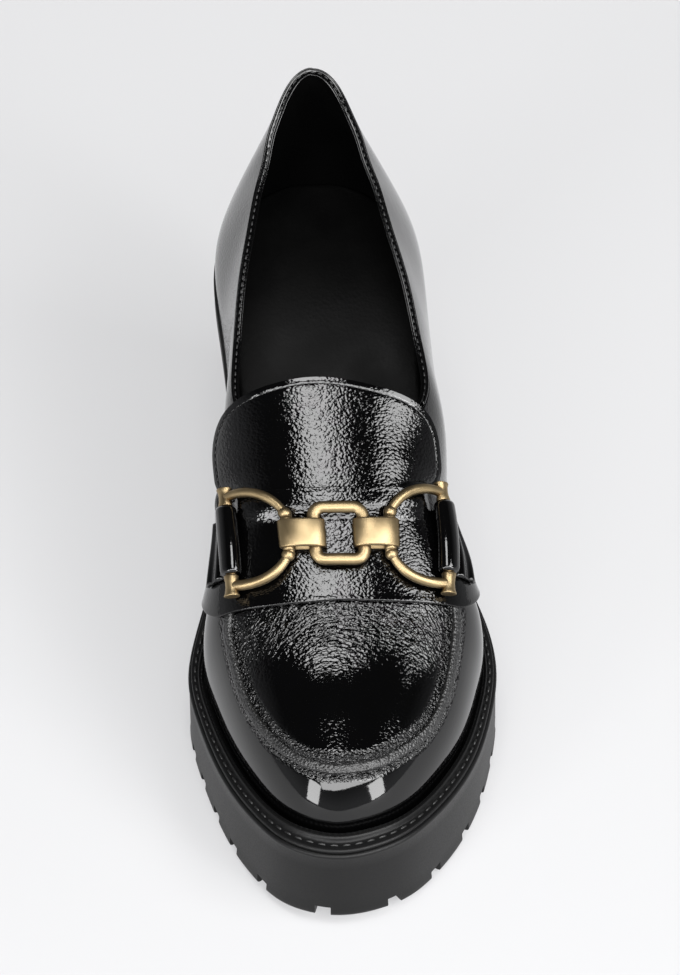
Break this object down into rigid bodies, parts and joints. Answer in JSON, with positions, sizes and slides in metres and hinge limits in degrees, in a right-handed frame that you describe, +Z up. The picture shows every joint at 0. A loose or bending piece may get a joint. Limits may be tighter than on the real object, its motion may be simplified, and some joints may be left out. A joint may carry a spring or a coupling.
{
  "type": "heeled platform loafer pump",
  "caption": "Left platform loafer pump with a covered block heel, lugged sole, apron-seamed vamp, saddle strap and a metal snaffle-bit ornament held by leather keepers.",
  "frame": {"origin": "on the floor under the middle of the shoe's plan", "axes": "-Y points to the toe, +X to the lateral (outer) side, +Z up"},
  "size_m": [0.0998, 0.25, 0.1498],
  "materials": {
    "patent_leather": "black crinkled patent leather, high gloss",
    "lining_leather": "smooth black lining leather, half matt",
    "sole_rubber": "dark grey moulded rubber, matt",
    "antique_brass": "polished pale antique brass"
  },
  "bodies": {
    "root": {"upper": "patent_leather", "tongue": "patent_leather", "insole": "lining_leather", "outsole": "sole_rubber", "welt": "sole_rubber", "heel": "patent_leather", "heel_lift": "sole_rubber", "collar_binding": "patent_leather", "saddle": "patent_leather", "keeper_lateral": "patent_leather", "keeper_medial": "patent_leather", "ring_lateral": "antique_brass", "ring_medial": "antique_brass", "link_lateral": "antique_brass", "link_medial": "antique_brass", "link_square": "antique_brass"}
  },
  "joints": []
}
